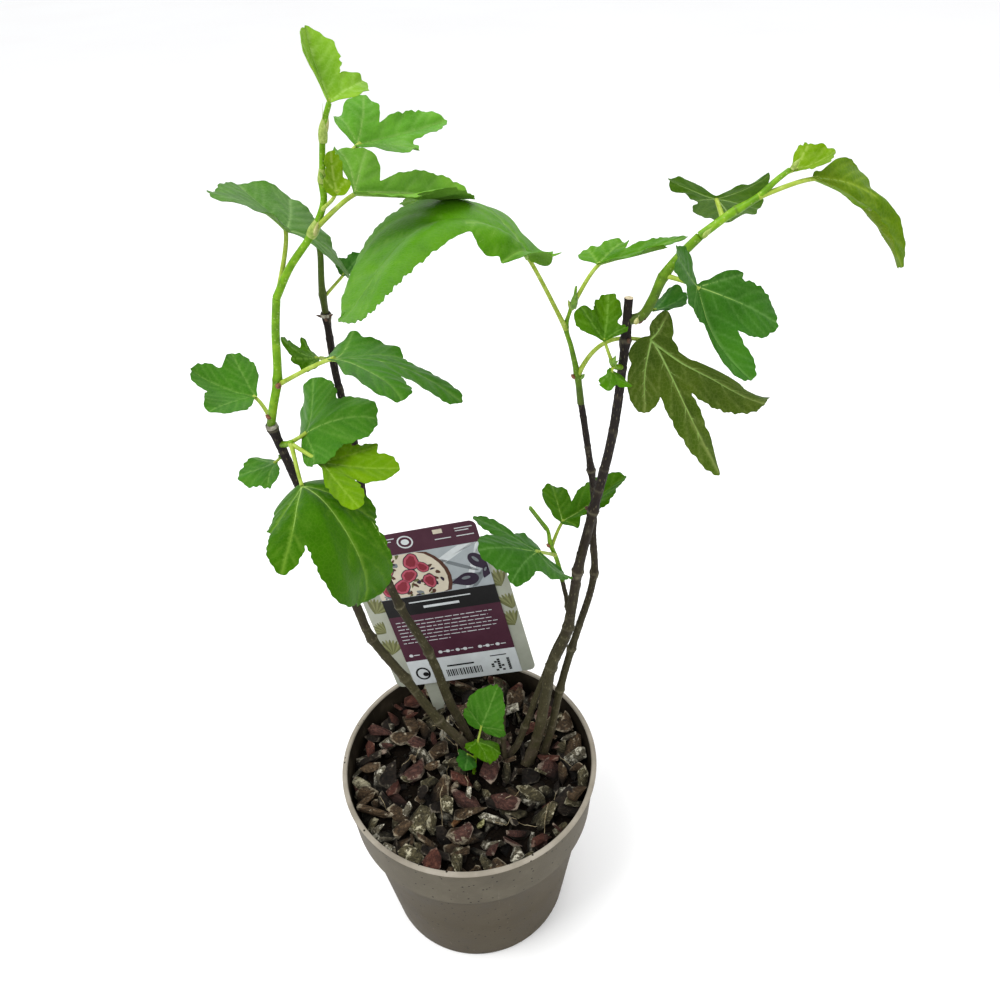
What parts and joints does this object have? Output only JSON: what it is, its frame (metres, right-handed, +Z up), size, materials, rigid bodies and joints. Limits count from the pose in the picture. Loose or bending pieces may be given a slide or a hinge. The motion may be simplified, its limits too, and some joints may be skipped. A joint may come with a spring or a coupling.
{
  "type": "potted fig tree",
  "caption": "Young multi-stemmed fig tree with lobed leaves, growing from bark mulch in a round nursery pot, with a blank plant label stuck in the mulch.",
  "frame": {"origin": "centre of the pot's flat underside, on the floor", "axes": "+Z up along the pot's axis, +X to the right of the side that the label faces, +Y away from that side"},
  "size_m": [0.3642, 0.19, 0.6428],
  "materials": {
    "pot": "satin taupe-grey moulded polypropylene with fine dark specks",
    "soil": "damp dark peat potting soil",
    "bark_mulch": "rough composted bark chips, dark brown with grey and reddish pieces",
    "bark": "young grey-brown fig bark with paler ring scars",
    "foliage": "thin matt green leaves on yellow-green stalks and shoots",
    "front_card": "printed polypropylene card, dark maroon with plain colour fields",
    "back_card": "pale grey-olive polypropylene card"
  },
  "bodies": {
    "root": {"pot": "pot", "potting_soil": "soil", "bark_mulch": "bark_mulch", "left_front_stem": "bark", "left_rear_stem": "bark", "right_main_stem": "bark", "right_rear_stem": "bark", "right_inner_stem": "bark", "dead_stub": "bark", "left_lower_shoot": "foliage", "left_upper_shoot": "foliage", "left_side_spray": "foliage", "left_small_spray": "foliage", "left_rear_tip_spray": "foliage", "left_rear_bud_spray": "foliage", "right_lower_shoot": "foliage", "right_upper_shoot": "foliage", "right_spur_spray": "foliage", "right_rear_shoot": "foliage", "right_inner_spray": "foliage", "basal_sucker": "foliage", "label_front_card": "front_card", "label_back_card": "back_card"}
  },
  "joints": []
}
